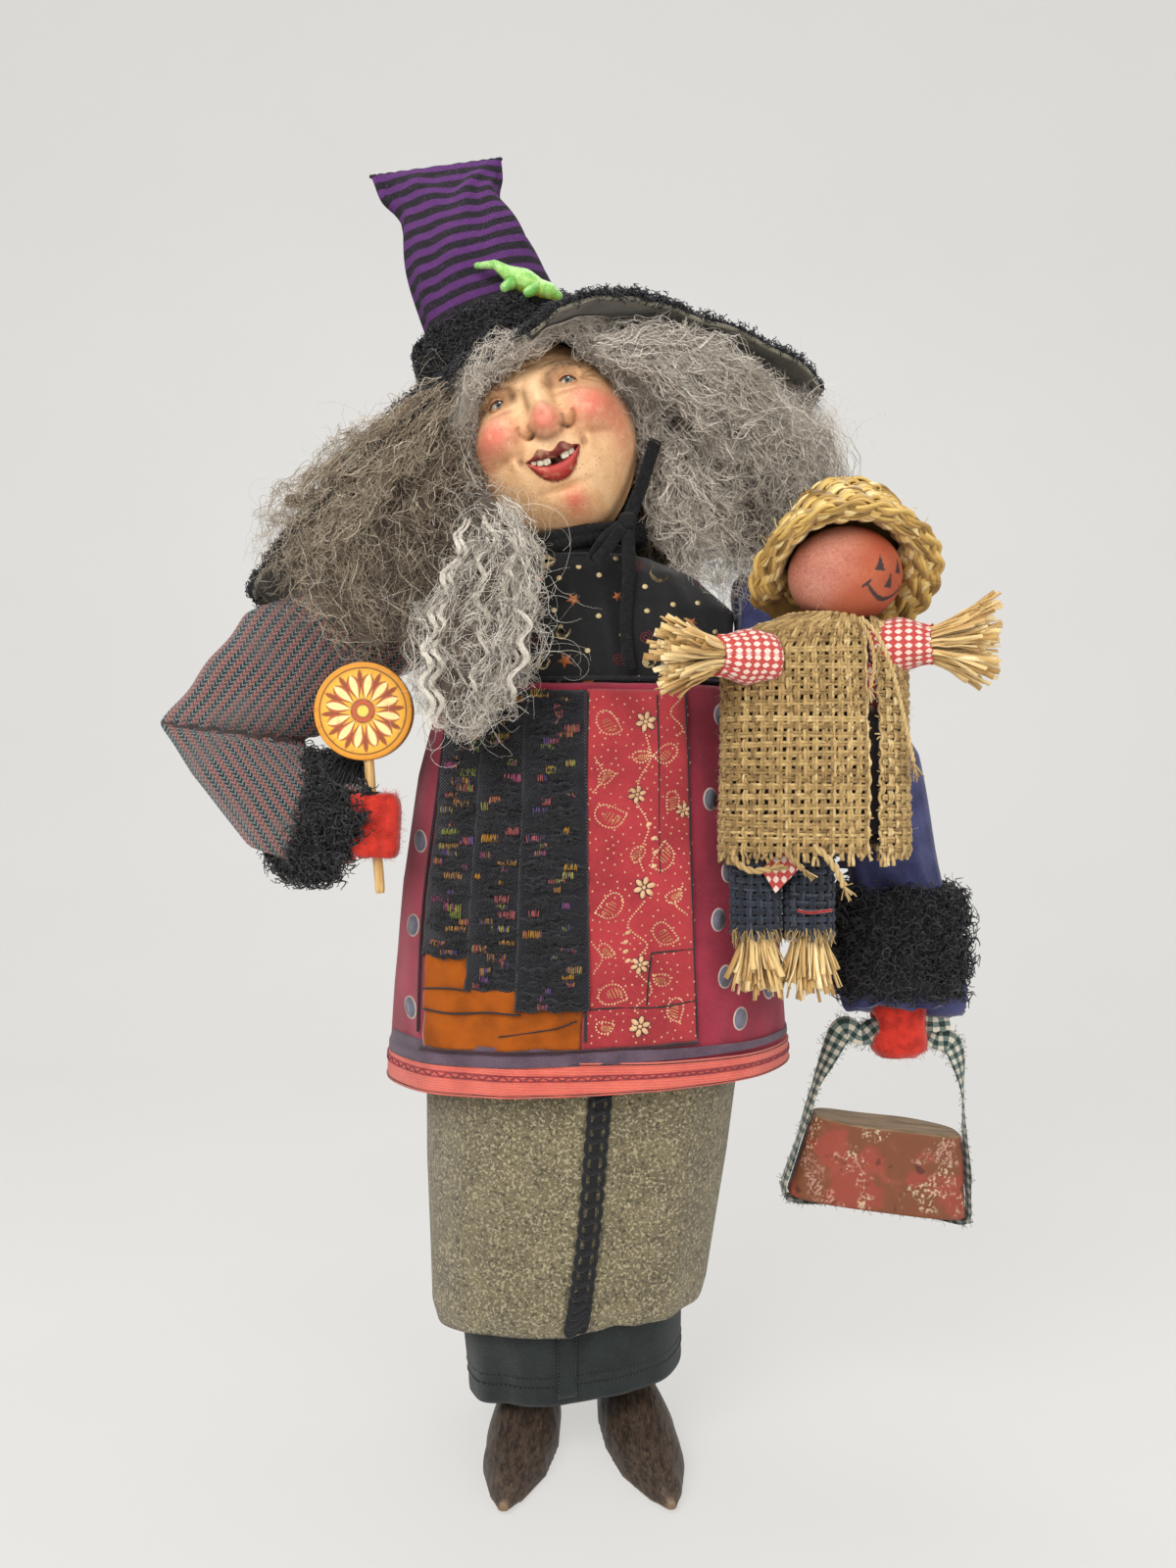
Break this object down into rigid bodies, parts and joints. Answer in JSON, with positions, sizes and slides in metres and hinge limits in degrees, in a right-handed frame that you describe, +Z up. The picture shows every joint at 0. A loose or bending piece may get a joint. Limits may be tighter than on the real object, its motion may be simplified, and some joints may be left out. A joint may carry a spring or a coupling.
{
  "type": "witch doll",
  "caption": "Standing cloth witch doll with a clay face, wool hair and a floppy striped hat, holding a lollipop and a small pail, with a straw scarecrow sewn to one sleeve.",
  "frame": {"origin": "middle of the doll's footprint on the floor", "axes": "+Z up, -Y is the way the doll faces, +X is towards the doll's left hand"},
  "size_m": [0.381, 0.2182, 0.6048],
  "materials": {
    "muslin": "plain unbleached cotton",
    "raspberry_cloth": "slubbed cotton",
    "boucle": "dark loop yarn with coloured slubs",
    "ochre_velvet": "short pile",
    "bandana_print": "printed cotton",
    "coral_ribbon": "woven ribbon",
    "mauve_facing": "plain cotton",
    "tweed": "heathered wool",
    "black_braid": "woven braid",
    "black_boucle": "curly pile",
    "dark_green_cloth": "matt cotton",
    "night_print": "printed cotton",
    "shoe_wood": "carved, stained and waxed",
    "pale_wood": "bare",
    "steel_wire": "drawn wire",
    "clay": "baked polymer clay, tinted",
    "grey_wool": "loose curly wool",
    "white_wool": "crimped wool",
    "striped_knit": "striped sock knit",
    "olive_lining": "plain weave",
    "green_rubber": "soft and translucent",
    "striped_wool": "woven stripe",
    "red_felt": "felt",
    "yellow_wood": "painted",
    "navy_velvet": "short pile",
    "pail_paint": "worn paint",
    "gingham": "checked cotton",
    "red_painted_wood": "matt paint",
    "straw": "raffia",
    "burlap": "open jute weave",
    "red_check": "diamond check",
    "navy_burlap": "dyed jute"
  },
  "bodies": {
    "figure": {"stuffed_body": "muslin", "neck_post": "pale_wood", "blouse": "night_print", "vest": "raspberry_cloth", "skirt": "tweed", "underskirt": "dark_green_cloth", "boucle_panel": "boucle", "ochre_panel": "ochre_velvet", "bandana_panel": "bandana_print", "hem_band": "coral_ribbon", "hem_facing": "mauve_facing", "neckline_cord": "black_braid", "skirt_braid": "black_braid", "underskirt_tab": "dark_green_cloth", "right_shoe": "shoe_wood", "left_shoe": "shoe_wood", "right_leg_dowel": "pale_wood", "left_leg_dowel": "pale_wood", "head": "clay", "hat_crown": "striped_knit", "hat_band": "black_boucle", "hat_brim": "black_boucle", "brim_lining": "olive_lining", "lizard": "green_rubber", "hair_right_side": "grey_wool", "hair_left_side": "grey_wool", "hair_back": "grey_wool", "front_lock": "white_wool", "collar": "black_braid", "ribbon_tie": "black_braid"},
    "right_upper_arm": {"right_upper_sleeve": "striped_wool", "right_upper_arm_wire": "steel_wire"},
    "right_forearm": {"right_forearm_sleeve": "striped_wool", "right_forearm_wire": "steel_wire", "right_fur_cuff": "black_boucle", "right_mitt": "red_felt"},
    "lollipop": {"lollipop_stick": "pale_wood", "lollipop_disc": "yellow_wood"},
    "left_arm": {"left_sleeve": "navy_velvet", "left_arm_wire": "steel_wire", "left_fur_cuff": "black_boucle", "left_mitt": "red_felt", "scarecrow_vest": "burlap", "scarecrow_body": "red_check", "scarecrow_neck_peg": "pale_wood", "scarecrow_right_sleeve": "red_check", "scarecrow_left_sleeve": "red_check", "scarecrow_right_straw_hand": "straw", "scarecrow_left_straw_hand": "straw"},
    "pail": {"pail": "pail_paint", "pail_strap": "gingham"},
    "scarecrow_head": {"scarecrow_head": "red_painted_wood", "scarecrow_straw_hat": "straw"},
    "scarecrow_right_leg": {"scarecrow_right_trouser": "navy_burlap", "scarecrow_right_straw_foot": "straw"},
    "scarecrow_left_leg": {"scarecrow_left_trouser": "navy_burlap", "scarecrow_left_straw_foot": "straw"}
  },
  "joints": [
    {"name": "right_shoulder_swing", "type": "hinge", "parent": "figure", "child": "right_upper_arm", "pos_m": [-0.05801, -0.00388, 0.388], "axis": [1, 0, 0], "range_deg": [-15, 0]},
    {"name": "right_elbow_bend", "type": "hinge", "parent": "right_upper_arm", "child": "right_forearm", "pos_m": [-0.19051, -0.00788, 0.33586], "axis": [0, 1, 0], "range_deg": [0, 35]},
    {"name": "lollipop_slide", "type": "slide", "parent": "right_forearm", "child": "lollipop", "axis": [-0.0872, 0, 0.9962], "range_m": [-0.012, 0.014]},
    {"name": "left_shoulder_swing", "type": "hinge", "parent": "figure", "child": "left_arm", "pos_m": [0.08559, -0.00388, 0.388], "axis": [1, 0, 0], "range_deg": [-12, 0]},
    {"name": "pail_swing", "type": "hinge", "parent": "left_arm", "child": "pail", "pos_m": [0.15759, -0.02588, 0.196], "axis": [1, 0, 0], "range_deg": [-25, 25]},
    {"name": "scarecrow_head_turn", "type": "hinge", "parent": "left_arm", "child": "scarecrow_head", "pos_m": [0.12399, -0.06488, 0.3965], "axis": [0, 0, 1], "range_deg": [-20, 20]},
    {"name": "scarecrow_right_leg_swing", "type": "hinge", "parent": "left_arm", "child": "scarecrow_right_leg", "pos_m": [0.08619, -0.06388, 0.2745], "axis": [1, 0, 0], "range_deg": [-20, 5]},
    {"name": "scarecrow_left_leg_swing", "type": "hinge", "parent": "left_arm", "child": "scarecrow_left_leg", "pos_m": [0.10859, -0.06388, 0.2745], "axis": [1, 0, 0], "range_deg": [-20, 5]}
  ]
}
